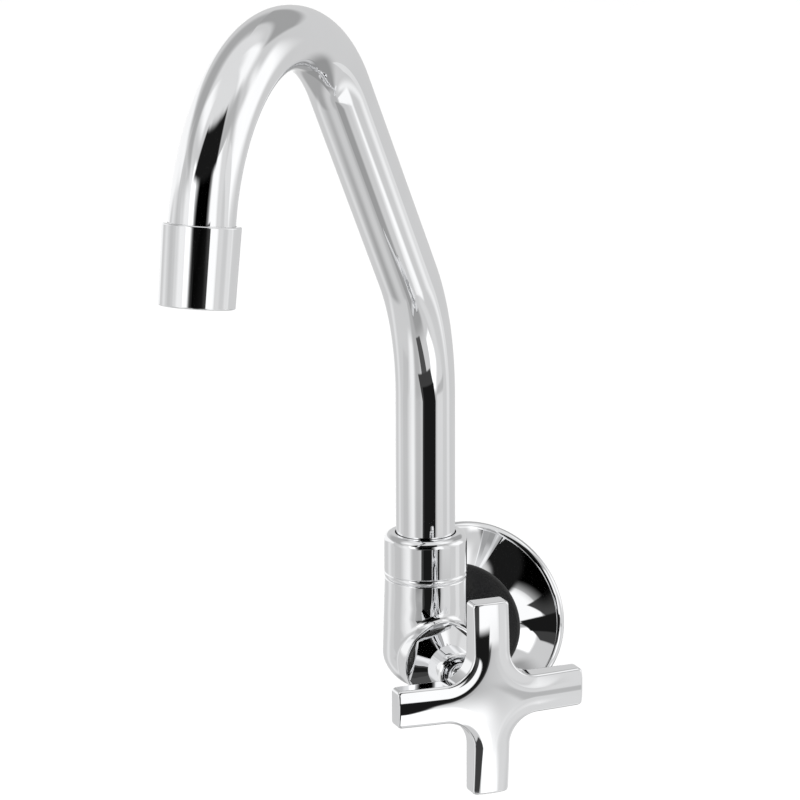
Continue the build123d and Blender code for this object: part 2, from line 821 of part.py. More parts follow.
screw_place = handle_back - screw_from_back
with BuildPart() as handle:
    # Plan of the cross, crowned by the shape above
    with BuildSketch(valve_plane.offset(handle_back)) as cross_plan:
        for turn in (0, 90):
            with BuildSketch(mode=Mode.PRIVATE) as bar:
                with BuildLine():
                    Polyline(
                        (-tip, -arm_tip_width / 2),
                        (0, -arm_root_width / 2),
                        (tip, -arm_tip_width / 2),
                        (tip, arm_tip_width / 2),
                        (0, arm_root_width / 2),
                        (-tip, arm_tip_width / 2),
                        close=True,
                    )
                make_face()
            add(bar.sketch, rotation=turn)
        fillet(cross_plan.vertices().group_by(SortBy.DISTANCE)[0], arm_inner_fillet)
        fillet(cross_plan.vertices().group_by(SortBy.DISTANCE)[-1], arm_corner)
    extrude(amount=arm_thickness)
    add(crown.part, mode=Mode.INTERSECT)
    fillet(cross_rim(handle, handle_front), arm_front_edge)
    fillet(cross_rim(handle, handle_back), arm_back_edge)
    # Hub with its flare into the back of the cross
    with BuildSketch(valve_section):
        with BuildLine():
            Line((hub_end, 0), (hub_end, hub_end_r))
            Line((hub_end, hub_end_r), (handle_back - hub_flare_r, hub_root_r))
            RadiusArc(
                (handle_back - hub_flare_r, hub_root_r),
                (handle_back, hub_root_r + hub_flare_r),
                hub_flare_r,
            )
            Polyline(
                (handle_back, hub_root_r + hub_flare_r),
                (handle_back + stock_overlap, hub_root_r + hub_flare_r),
                (handle_back + stock_overlap, 0),
                (hub_end, 0),
            )
        make_face()
    revolve(axis=valve_axis)
    # Splined socket and the grub screw's thread hole
    with BuildSketch(valve_plane.offset(hub_end)):
        spline_profile(spline_r + seat_gap, spline_r - spline_depth + seat_gap)
    extrude(amount=stem_end + free_gap - hub_end, mode=Mode.SUBTRACT)
    with BuildSketch(Plane(swivel_point + valve_dir * screw_place, z_dir=(0, 0, -1))):
        Circle(screw_r + seat_gap)
    extrude(amount=hub_root_r + hub_flare_r, mode=Mode.SUBTRACT)
save("handle", handle.part)

# Grub screw against the splines, from below
screw_seat = swivel_point + valve_dir * screw_place - Vector(0, 0, spline_r + seat_gap)
with BuildPart() as handle_screw:
    with BuildSketch(Plane(screw_seat, z_dir=(0, 0, -1))):
        Circle(screw_r)
    extrude(amount=screw_length)
    with BuildSketch(Plane(screw_seat, z_dir=(0, 0, -1)).offset(screw_length)):
        RegularPolygon(screw_hex / math.sqrt(3), 6)
    extrude(amount=-screw_socket, mode=Mode.SUBTRACT)
save("handle_screw", handle_screw.part)
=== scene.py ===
import json
import math

import bmesh
import bpy
from mathutils import Matrix, Vector


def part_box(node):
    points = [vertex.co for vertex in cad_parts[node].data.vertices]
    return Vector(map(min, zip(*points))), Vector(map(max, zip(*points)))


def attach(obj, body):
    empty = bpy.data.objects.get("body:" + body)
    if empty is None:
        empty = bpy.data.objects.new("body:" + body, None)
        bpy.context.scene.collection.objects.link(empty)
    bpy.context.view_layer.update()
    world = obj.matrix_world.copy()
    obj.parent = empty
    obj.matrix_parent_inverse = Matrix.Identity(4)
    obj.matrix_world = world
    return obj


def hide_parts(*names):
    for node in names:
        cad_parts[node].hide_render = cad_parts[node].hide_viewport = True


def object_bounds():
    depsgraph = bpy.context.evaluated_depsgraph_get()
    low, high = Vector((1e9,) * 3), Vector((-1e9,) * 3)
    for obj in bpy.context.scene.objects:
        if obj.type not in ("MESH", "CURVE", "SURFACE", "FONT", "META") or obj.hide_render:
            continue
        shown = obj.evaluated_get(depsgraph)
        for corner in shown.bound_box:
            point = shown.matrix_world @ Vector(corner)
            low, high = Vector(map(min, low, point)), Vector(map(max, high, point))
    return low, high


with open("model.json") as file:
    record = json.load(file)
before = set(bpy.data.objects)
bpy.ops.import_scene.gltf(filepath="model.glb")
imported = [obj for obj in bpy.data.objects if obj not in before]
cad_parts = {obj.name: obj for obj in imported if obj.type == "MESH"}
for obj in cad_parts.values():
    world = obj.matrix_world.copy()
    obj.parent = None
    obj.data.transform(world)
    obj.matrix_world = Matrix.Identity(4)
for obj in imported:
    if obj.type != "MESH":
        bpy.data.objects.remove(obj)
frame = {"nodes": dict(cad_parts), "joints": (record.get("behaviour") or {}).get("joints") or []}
cad_low, cad_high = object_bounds()
nodes = frame["nodes"]

mm = 0.001

# Camera at the photograph's viewing angle
camera_azimuth = math.radians(23.084)
camera_elevation = math.radians(14.543)
camera_roll = math.radians(-0.223)
camera_distance = 1.36
camera_aim = Vector((-0.0039, -0.0579, 0.0903))
focal_length = 184.1
sensor_width = 36.0

# Places and directions that the pieces share
inlet_point = Vector((0, 0, 0))
swivel_point = Vector(frame["joints"][0]["pos_m"])
up = Vector((0, 0, 1))
room = Vector((0, -1, 0))
sideways = Vector((1, 0, 0))
valve_dir = Vector(frame["joints"][1]["axis"]).normalized()
valve_side = Vector((-valve_dir.y, valve_dir.x, 0))

# Spout's centre line and section
tube_r = 9.98 * mm
tube_wall = 1.0 * mm
riser_height = 47.8 * mm
lean_bend_r = 73.0 * mm
lean_angle = math.radians(37.3)
lean_length = 89.7 * mm
arch_r = 55.9 * mm
arch_angle = math.radians(132.5)
outlet_stub = 7.0 * mm
bend_steps = 28


def camera():
    """Camera on a long lens, turned round the tap as in the photograph."""
    back = Vector(
        (
            math.sin(camera_azimuth) * math.cos(camera_elevation),
            -math.cos(camera_azimuth) * math.cos(camera_elevation),
            math.sin(camera_elevation),
        )
    )
    level = Vector((math.cos(camera_azimuth), math.sin(camera_azimuth), 0))
    above = back.cross(level)
    right = level * math.cos(camera_roll) + above * math.sin(camera_roll)
    above = back.cross(right)
    lens = bpy.data.cameras.new("camera")
    lens.lens = focal_length
    lens.sensor_width = sensor_width
    seen_from = bpy.data.objects.new("camera", lens)
    place = camera_aim + back * camera_distance
    seen_from.matrix_world = Matrix(
        (
            (right.x, above.x, back.x, place.x),
            (right.y, above.y, back.y, place.y),
            (right.z, above.z, back.z, place.z),
            (0, 0, 0, 1),
        )
    )
    bpy.context.scene.collection.objects.link(seen_from)
    bpy.context.scene.camera = seen_from


def maths(tree):
    """Gives a tree a short way to add its math nodes: operation, then numbers or sockets."""

    def work(operation, *values):
        node = tree.nodes.new("ShaderNodeMath")
        node.operation = operation
        for socket, value in zip(node.inputs, values):
            if isinstance(value, (int, float)):
                socket.default_value = value
            else:
                tree.links.new(value, socket)
        return node.outputs[0]

    return work


# Skins: every face corner carries its exact normal, because a mirror shows each small error


class Skin:
    """Collects vertices, faces and the normal at every face corner."""

    def __init__(self):
        self.points = []
        self.faces = []
        self.normals = []

    def add_ring(self, points):
        """Adds points and returns their numbers."""
        first = len(self.points)
        self.points.extend(points)
        return list(range(first, len(self.points)))

    def band(self, low, high, low_normals, high_normals):
        """Joins two closed rings of as many points with quads, or with triangles at a pole."""
        count = max(len(low), len(high))
        for i in range(count):
            j = (i + 1) % count
            if len(low) == 1:
                self.faces.append((low[0], high[j], high[i]))
                self.normals.extend((low_normals[i], high_normals[j], high_normals[i]))
            elif len(high) == 1:
                self.faces.append((low[i], low[j], high[0]))
                self.normals.extend((low_normals[i], low_normals[j], high_normals[i]))
            else:
                self.faces.append((low[i], low[j], high[j], high[i]))
                self.normals.extend(
                    (low_normals[i], low_normals[j], high_normals[j], high_normals[i])
                )

    def piece(self, name):
        """Makes the object."""
        mesh = bpy.data.meshes.new(name)
        mesh.from_pydata([tuple(p) for p in self.points], [], self.faces)
        mesh.update()
        mesh.normals_split_custom_set([tuple(n) for n in self.normals])
        made = bpy.data.objects.new(name, mesh)
        bpy.context.scene.collection.objects.link(made)
        return made


def line(start, end):
    """One straight stretch of a turned profile, the outside on its right."""
    along = Vector(end) - Vector(start)
    normal = Vector((along.y, -along.x)).normalized()
    return [(start, end, normal, normal)]


def arc(centre, radius, start_deg, end_deg, steps):
    """Round stretch of a turned profile. Anticlockwise is convex, clockwise is hollow."""
    side = 1 if end_deg > start_deg else -1
    angles = [
        math.radians(start_deg + (end_deg - start_deg) * i / steps) for i in range(steps + 1)
    ]
    spokes = [Vector((math.cos(a), math.sin(a))) for a in angles]
    places = [tuple(Vector(centre) + spoke * radius) for spoke in spokes]
    return [
        (places[i], places[i + 1], spokes[i] * side, spokes[i + 1] * side) for i in range(steps)
    ]


def turned(name, profile, foot, axis, across, count=192):
    """Turns a profile of radius and height round an axis.

    A profile that ends where it began makes a closed ring.
    """
    third = axis.cross(across)
    spokes = [
        across * math.cos(2 * math.pi * i / count) + third * math.sin(2 * math.pi * i / count)
        for i in range(count)
    ]

    def ring(place):
        radius, height = place
        if radius < 1e-9:
            return skin.add_ring([foot + axis * height])
        return skin.add_ring([foot + axis * height + spoke * radius for spoke in spokes])

    def facing(normal):
        return [spoke * normal[0] + axis * normal[1] for spoke in spokes]

    skin = Skin()
    first = low = ring(profile[0][0])
    for number, (start, end, start_normal, end_normal) in enumerate(profile):
        closes = number == len(profile) - 1 and (Vector(end) - Vector(profile[0][0])).length < 1e-9
        high = first if closes else ring(end)
        skin.band(low, high, facing(start_normal), facing(end_normal))
        low = high
    return skin.piece(name)


def spout_line():
    """Points and directions along the spout's centre line, from the tube's foot."""
    places, headings = [], []
    place = Vector((0, 0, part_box("spout_tube")[0].z)) + Vector((0, swivel_point.y, 0))
    lean = 0.0

    def note():
        places.append(place.copy())
        headings.append(up * math.cos(lean) + room * math.sin(lean))

    def straight(length):
        nonlocal place
        place = place + headings[-1] * length
        note()

    def bend(radius, turn, steps):
        nonlocal place, lean
        centre = place + (room * math.cos(lean) - up * math.sin(lean)) * radius
        for _ in range(steps):
            lean += turn / steps
            place = centre - (room * math.cos(lean) - up * math.sin(lean)) * radius
            note()

    note()
    straight(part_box("spout_nut")[1].z + riser_height - place.z)
    bend(lean_bend_r, lean_angle, bend_steps)
    straight(lean_length)
    bend(arch_r, arch_angle, 3 * bend_steps)
    straight(outlet_stub)
    return places, headings


def bent_spout(count=144):
    """The spout as a hollow tube, with plain rings at both ends."""
    places, headings = spout_line()
    skin = Skin()
    turns = [2 * math.pi * i / count for i in range(count)]
    rows = []
    for place, heading in zip(places, headings):
        third = heading.cross(sideways)
        spokes = [sideways * math.cos(t) + third * math.sin(t) for t in turns]
        rows.append((place, spokes))
    for radius, side in ((tube_r, 1), (tube_r - tube_wall, -1)):
        rings = [skin.add_ring([place + s * radius for s in spokes]) for place, spokes in rows]
        for k in range(len(rows) - 1):
            low, high = (k, k + 1) if side > 0 else (k + 1, k)
            skin.band(
                rings[low],
                rings[high],
                [s * side for s in rows[low][1]],
                [s * side for s in rows[high][1]],
            )
        if side > 0:
            outer = rings
    for end, heading in ((0, -headings[0]), (-1, headings[-1])):
        pair = (rings[end], outer[end]) if end == 0 else (outer[end], rings[end])
        skin.band(*pair, [heading] * count, [heading] * count)
    return skin.piece("bent_spout")


def merged_copy(node, name, sharp=30.0, broken=0.0):
    """Copy of a CAD node with its triangles joined, its round faces smooth and its edges broken."""
    joined, collapsed = 0.002 * mm, 0.001 * mm
    mesh = nodes[node].data.copy()
    mesh.name = name
    work = bmesh.new()
    work.from_mesh(mesh)
    bmesh.ops.remove_doubles(work, verts=work.verts, dist=joined)
    bmesh.ops.dissolve_degenerate(work, dist=collapsed, edges=work.edges)
    work.to_mesh(mesh)
    work.free()
    mesh.shade_smooth()
    mesh.set_sharp_from_angle(angle=math.radians(sharp))
    made = bpy.data.objects.new(name, mesh)
    bpy.context.scene.collection.objects.link(made)
    if broken:
        edges = made.modifiers.new("broken edges", "BEVEL")
        edges.width = broken
        edges.segments = 3
        edges.limit_method = "ANGLE"
        edges.angle_limit = math.radians(sharp)
        edges.harden_normals = True
    weigh = made.modifiers.new("weigh normals by face", "WEIGHTED_NORMAL")
    weigh.keep_sharp = True
    return made


def carve(piece, tool):
    """Takes the tool's shape out of a piece."""
    cut = piece.modifiers.new("carve", "BOOLEAN")
    cut.object = tool
    cut.solver = "EXACT"
    piece.modifiers.move(len(piece.modifiers) - 1, 0)
    bpy.context.view_layer.update()
    ready = piece.evaluated_get(bpy.context.evaluated_depsgraph_get())
    mesh = bpy.data.meshes.new_from_object(ready)
    piece.modifiers.clear()
    piece.data = mesh
    bpy.data.objects.remove(tool)


def grain_group():
    """Node group: cloudy variation of colour, roughness and relief in the piece's own space."""
    group = bpy.data.node_groups.new("grain", "ShaderNodeTree")
    for name, kind in (
        ("Cloud scale", "NodeSocketFloat"),
        ("Grain scale", "NodeSocketFloat"),
        ("Main colour", "NodeSocketColor"),
        ("Other colour", "NodeSocketColor"),
        ("Smoothest", "NodeSocketFloat"),
        ("Roughest", "NodeSocketFloat"),
        ("Relief", "NodeSocketFloat"),
        ("Waviness", "NodeSocketFloat"),
    ):
        group.interface.new_socket(name, in_out="INPUT", socket_type=kind)
    for name, kind in (
        ("Colour", "NodeSocketColor"),
        ("Roughness", "NodeSocketFloat"),
        ("Normal", "NodeSocketVector"),
    ):
        group.interface.new_socket(name, in_out="OUTPUT", socket_type=kind)
    made, links = group.nodes, group.links
    given = made.new("NodeGroupInput")
    result = made.new("NodeGroupOutput")
    place = made.new("ShaderNodeTexCoord")
    clouds = made.new("ShaderNodeTexNoise")
    clouds.inputs["Detail"].default_value = 3.0
    grain = made.new("ShaderNodeTexNoise")
    grain.inputs["Detail"].default_value = 4.0
    for noise, scale in ((clouds, "Cloud scale"), (grain, "Grain scale")):
        links.new(place.outputs["Object"], noise.inputs["Vector"])
        links.new(given.outputs[scale], noise.inputs["Scale"])
    spread = made.new("ShaderNodeMapRange")
    spread.inputs["From Min"].default_value = 0.35
    spread.inputs["From Max"].default_value = 0.65
    links.new(clouds.outputs["Fac"], spread.inputs["Value"])
    colour = made.new("ShaderNodeMix")
    colour.data_type = "RGBA"
    links.new(spread.outputs["Result"], colour.inputs[0])
    links.new(given.outputs["Main colour"], colour.inputs[6])
    links.new(given.outputs["Other colour"], colour.inputs[7])
    mixed = made.new("ShaderNodeMath")
    mixed.operation = "MULTIPLY"
    links.new(spread.outputs["Result"], mixed.inputs[0])
    links.new(grain.outputs["Fac"], mixed.inputs[1])
    rough = made.new("ShaderNodeMapRange")
    links.new(mixed.outputs[0], rough.inputs["Value"])
    links.new(given.outputs["Smoothest"], rough.inputs["To Min"])
    links.new(given.outputs["Roughest"], rough.inputs["To Max"])
    wave = made.new("ShaderNodeBump")
    links.new(clouds.outputs["Fac"], wave.inputs["Height"])
    links.new(given.outputs["Waviness"], wave.inputs["Distance"])
    bump = made.new("ShaderNodeBump")
    links.new(grain.outputs["Fac"], bump.inputs["Height"])
    links.new(given.outputs["Relief"], bump.inputs["Distance"])
    links.new(wave.outputs["Normal"], bump.inputs["Normal"])
    links.new(colour.outputs[2], result.inputs["Colour"])
    links.new(rough.outputs["Result"], result.inputs["Roughness"])
    links.new(bump.outputs["Normal"], result.inputs["Normal"])
    return group


grain = grain_group()


def finish(
    name,
    colour,
    other,
    smoothest,
    roughest,
    cloud,
    fine,
    metallic=0.0,
    relief=0.0,
    waviness=0.0,
    specular=0.5,
):
    """New material that varies between two colours and two roughnesses.

    Cloud and fine are the sizes of its broad and its fine variation in metres, waviness and
    relief their depths.
    """
    material = bpy.data.materials.new(name)
    material.use_nodes = True
    tree = material.node_tree
    shader = tree.nodes["Principled BSDF"]
    shader.inputs["Metallic"].default_value = metallic
    shader.inputs["Specular IOR Level"].default_value = specular
    varied = tree.nodes.new("ShaderNodeGroup")
    varied.node_tree = grain
    for socket, value in (
        ("Cloud scale", 1 / cloud),
        ("Grain scale", 1 / fine),
        ("Main colour", (*colour, 1)),
        ("Other colour", (*other, 1)),
        ("Smoothest", smoothest),
        ("Roughest", roughest),
        ("Relief", relief),
        ("Waviness", waviness),
    ):
        varied.inputs[socket].default_value = value
    tree.links.new(varied.outputs["Colour"], shader.inputs["Base Color"])
    tree.links.new(varied.outputs["Roughness"], shader.inputs["Roughness"])
    tree.links.new(varied.outputs["Normal"], shader.inputs["Normal"])
    return material


def see_through_from_below(material):
    """Hides the back of a face, so that the floor doesn't cover the tap in views from below."""
    tree = material.node_tree
    out = tree.nodes["Material Output"]
    shader = tree.nodes["Principled BSDF"]
    side = tree.nodes.new("ShaderNodeNewGeometry")
    clear = tree.nodes.new("ShaderNodeBsdfTransparent")
    choose = tree.nodes.new("ShaderNodeMixShader")
    tree.links.new(side.outputs["Backfacing"], choose.inputs[0])
    tree.links.new(shader.outputs[0], choose.inputs[1])
    tree.links.new(clear.outputs[0], choose.inputs[2])
    tree.links.new(choose.outputs[0], out.inputs["Surface"])


def dress(piece, material):
    """Gives a piece one material."""
    piece.data.materials.clear()
    piece.data.materials.append(material)


def fit(piece, node, body, material):
    """Puts a finished piece on its body in place of its CAD node."""
    dress(piece, material)
    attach(piece, body)
    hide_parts(node)
    return piece


# Each finish: main colour, other colour, smoothest, roughest
chrome = finish(
    "polished chrome plate", (0.93, 0.935, 0.945), (0.90, 0.905, 0.915), 0.012, 0.05,
    metallic=1.0, cloud=0.03, fine=0.0008, relief=1.5e-7, waviness=1.2e-5,
)
cut_chrome = finish(
    "chrome over a cut thread", (0.80, 0.80, 0.80), (0.66, 0.65, 0.63), 0.12, 0.32,
    metallic=1.0, cloud=0.004, fine=0.0004, relief=8e-6,
)
black_rubber = finish(
    "matt black rubber", (0.010, 0.010, 0.011), (0.018, 0.018, 0.018), 0.42, 0.62,
    cloud=0.008, fine=0.0004, relief=1.6e-5, specular=0.32,
)
seal_rubber = finish(
    "greased black rubber", (0.014, 0.014, 0.014), (0.022, 0.021, 0.020), 0.20, 0.42,
    cloud=0.003, fine=0.0003, relief=5e-6,
)
brass = finish(
    "turned brass", (0.76, 0.60, 0.34), (0.66, 0.49, 0.26), 0.18, 0.38,
    metallic=1.0, cloud=0.005, fine=0.0003, relief=4e-6,
)
ceramic = finish(
    "ground white ceramic", (0.90, 0.88, 0.84), (0.84, 0.82, 0.78), 0.14, 0.30,
    cloud=0.002, fine=0.00015, relief=1e-6,
)
steel = finish(
    "drawn spring steel", (0.62, 0.63, 0.64), (0.52, 0.53, 0.54), 0.20, 0.38,
    metallic=1.0, cloud=0.004, fine=0.0002, relief=3e-6,
)
black_steel = finish(
    "blackened steel", (0.06, 0.06, 0.065), (0.12, 0.11, 0.10), 0.30, 0.50,
    metallic=0.9, cloud=0.0015, fine=0.0002, relief=4e-6,
)
white_plastic = finish(
    "white moulded plastic", (0.84, 0.85, 0.86), (0.79, 0.80, 0.80), 0.34, 0.50,
    cloud=0.006, fine=0.0003, relief=4e-6,
)
grey_plastic = finish(
    "grey moulded plastic", (0.50, 0.52, 0.55), (0.44, 0.46, 0.49), 0.34, 0.52,
    cloud=0.005, fine=0.0003, relief=5e-6,
)
pale_floor = finish(
    "pale floor", (0.90, 0.90, 0.90), (0.90, 0.90, 0.90), 0.55, 0.70,
    cloud=0.5, fine=0.01,
)

camera()

# Spout
fit(bent_spout(), "spout_tube", "spout", chrome)


def collar_nut():
    """Smooth collar nut with a rounded shoulder and a bead round its foot."""
    low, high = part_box("spout_nut")
    outer = (high.x - low.x) / 2
    height = high.z - low.z
    top_round = 2.6 * mm
    bore, lip_bore, lip = outer - 1.95 * mm, 10.35 * mm, 3.5 * mm
    bead_height, groove, edge_round = 1.75 * mm, 0.3 * mm, 0.35 * mm
    edge_low = bead_height + 0.05 * mm
    edge_high = edge_low + edge_round
    bead_half = bead_height / 2
    bead_r = (bead_half**2 + groove**2) / (2 * groove)
    bead_end = math.degrees(math.asin(bead_half / bead_r))
    profile = (
        arc((outer - bead_r, bead_half), bead_r, -bead_end, bead_end, 12)
        + line((outer - groove, bead_height), (outer - edge_round, edge_low))
        + arc((outer - edge_round, edge_high), edge_round, -90, 0, 6)
        + line((outer, edge_high), (outer, height - top_round))
        + arc((outer - top_round, height - top_round), top_round, 0, 90, 24)
        + line((outer - top_round, height), (lip_bore, height))
        + line((lip_bore, height), (lip_bore, height - lip))
        + line((lip_bore, height - lip), (bore, height - lip))
        + line((bore, height - lip), (bore, 0))
        + line((bore, 0), (outer - groove, 0))
    )
    return turned("collar_nut", profile, Vector((0, swivel_point.y, low.z)), up, sideways)


fit(collar_nut(), "spout_nut", "body", chrome)


def flange_shell():
    """Flared wall flange with a rolled edge, open towards the wall."""
    low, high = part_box("wall_flange")
    outer, height = high.x, -low.y
    wall, bore, face_r = 0.9 * mm, 10.8275 * mm, 20.6 * mm
    edge_r, edge_foot, edge_end = 2.2 * mm, 0.3 * mm, 78
    turn = 8.0      # degrees from the flare's middle slope to the slope at its ends
    edge_out, edge_in = (
        arc((outer - edge_r, edge_foot), reach, 0, edge_end, 16)
        for reach in (edge_r, edge_r - wall)
    )
    foot = Vector(edge_out[-1][1])
    chord = Vector((face_r, height)) - foot
    slope = math.degrees(math.atan2(chord.y, -chord.x))
    flare_r = chord.length / (2 * math.sin(math.radians(turn)))
    start, end = 270 - slope + turn, 270 - slope - turn
    start_angle = math.radians(start)
    centre = foot - Vector((math.cos(start_angle), math.sin(start_angle))) * flare_r
    flare_out = arc(centre, flare_r, start, end, 32)
    flare_in = arc(centre, flare_r + wall, end, start, 32)
    edge_in = [
        (after, before, -after_normal, -before_normal)
        for before, after, before_normal, after_normal in reversed(edge_in)
    ]
    profile = (
        line((outer, 0), (outer, edge_foot))
        + edge_out
        + flare_out
        + line(flare_out[-1][1], (bore, height))
        + line((bore, height), (bore, height - wall))
        + line((bore, height - wall), flare_in[0][0])
        + flare_in
        + line(flare_in[-1][1], edge_in[0][0])
        + edge_in
        + line((outer - wall, edge_foot), (outer - wall, 0))
        + line((outer - wall, 0), (outer, 0))
    )
    return turned("flange_shell", profile, inlet_point, room, sideways, 256)


def rubber_disc():
    """Matt disc with rounded edges between the flange and the body."""
    low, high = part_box("flange_washer")
    radius, front, back = high.x, -low.y, -high.y
    bore = 10.6 * mm
    edge = 0.45 * (front - back)        # nearly a half round
    profile = (
        arc((radius - edge, back + edge), edge, -90, 0, 10)
        + line((radius, back + edge), (radius, front - edge))
        + arc((radius - edge, front - edge), edge, 0, 90, 10)
        + line((radius - edge, front), (bore, front))
        + line((bore, front), (bore, back))
        + line((bore, back), (radius - edge, back))
    )
    return turned("rubber_disc", profile, inlet_point, room, sideways, 256)


fit(flange_shell(), "wall_flange", "body", chrome)
fit(rubber_disc(), "flange_washer", "body", black_rubber)


def aerator_sleeve():
    """Slightly tapered outlet sleeve, with a lip round the tube and one round the outlet grid."""
    places, headings = spout_line()
    foot, along = places[-2], headings[-2]
    length, top, end = 24.3 * mm, 11.75 * mm, 11.35 * mm
    upper_bore, lower_bore, step = 10.95 * mm, 10.5 * mm, 8.55 * mm
    tube_lip_bore, tube_lip_height = 10.2 * mm, 0.65 * mm
    grid_lip, grid_lip_height = 1.4 * mm, 1.6 * mm
    small = 0.5 * mm
    grid_foot, mouth = length - grid_lip_height, end - grid_lip
    taper = math.degrees(math.atan2(top - end, length))
    head = arc((top - small, small), small, -90, taper, 8)
    toe = arc((end - small, length - small), small, taper, 90, 8)
    profile = (
        head
        + line(head[-1][1], toe[0][0])
        + toe
        + line((end - small, length), (mouth, length))
        + line((mouth, length), (mouth, grid_foot))
        + line((mouth, grid_foot), (lower_bore, grid_foot))
        + line((lower_bore, grid_foot), (lower_bore, step))
        + line((lower_bore, step), (upper_bore, step))
        + line((upper_bore, step), (upper_bore, tube_lip_height))
        + line((upper_bore, tube_lip_height), (tube_lip_bore, tube_lip_height))
        + line((tube_lip_bore, tube_lip_height), (tube_lip_bore, 0))
        + line((tube_lip_bore, 0), (top - small, 0))
    )
    return turned("aerator_sleeve", profile, foot, along, sideways)


fit(aerator_sleeve(), "aerator_shell", "spout", chrome)

# Handle, measured along the valve axis from the swivel axis
handle_front = 58.6 * mm
handle_back = 49.8 * mm
arm_reach = 32.85 * mm
arm_half = 6.4 * mm
inner_fillet = 10.0 * mm
arm_corner = 1.5 * mm
crown_slope = 0.33      # at the arm's long edges
crown_power = 1.6       # how fast the slope grows from the arm's middle
tip_fall_r = 330.0 * mm
front_round = 0.8 * mm
back_round = 1.4 * mm
corner_steps = 32       # round each inner corner, from its middle to the arm
side_steps = 24         # along each arm, and from the cross's middle to each inner corner
tip_steps = 12
across_steps = 32
edge_steps = 8
quarter_turns = ((1, 0), (0, 1), (-1, 0), (0, -1))


def edge_depth(x, y):
    """How far a place in the cross lies inside its long edges."""
    x, y = abs(x), abs(y)
    corner = arm_half + inner_fillet
    if x < corner and y < corner:
        return math.hypot(corner - x, corner - y) - inner_fillet
    return arm_half - min(x, y)


def crown(x, y):
    """Height of the cross's front, crowned over each arm and falling away towards the tips."""
    inward = max(0.0, min(1.0, 1.0 - edge_depth(x, y) / arm_half))
    power = crown_power + 1
    across = crown_slope * arm_half * inward**power / power
    return handle_front - across - (x * x + y * y) / (2 * tip_fall_r)


def crown_tilt(x, y):
    """Slope of the front along both arms."""
    step = 0.02 * mm
    return (
        (crown(x + step, y) - crown(x - step, y)) / (2 * step),
        (crown(x, y + step) - crown(x, y - step)) / (2 * step),
    )


def arm_outline(inset):
    """Half of one arm's outline from the inner corner's middle to the tip, with its normals."""
    corner = arm_half + inner_fillet
    places = []
    for i in range(corner_steps + 1):
        a = math.radians(45 * (1 - i / corner_steps))
        normal = (math.sin(a), math.cos(a))
        reach = inner_fillet + inset
        places.append((corner - reach * normal[0], corner - reach * normal[1], normal))
    start, end = corner, arm_reach - arm_corner
    for i in range(1, side_steps):
        along = start + (end - start) * i / side_steps
        places.append((along, arm_half - inset, (0.0, 1.0)))
    for i in range(tip_steps + 1):
        b = math.radians(90 * (1 - i / tip_steps))
        normal = (math.cos(b), math.sin(b))
        places.append(
            (
                end + (arm_corner - inset) * normal[0],
                arm_half - arm_corner + (arm_corner - inset) * normal[1],
                normal,
            )
        )
    return places


def cross_outline():
    """Closed outline of the cross, anticlockwise from the inner corner below the first arm."""
    half = arm_outline(0.0)
    tip_x, tip_y, _ = half[-1]
    tip = [
        (tip_x, -tip_y + 2 * tip_y * i / across_steps, (1.0, 0.0)) for i in range(1, across_steps)
    ]
    upper = list(reversed(half))
    lower = [(x, -y, (n[0], -n[1])) for x, y, n in half[1:]]
    arm = lower + tip + upper
    loop = []
    for c, s in quarter_turns:
        loop.extend(
            (x * c - y * s, x * s + y * c, (n[0] * c - n[1] * s, n[0] * s + n[1] * c))
            for x, y, n in arm
        )
    return loop


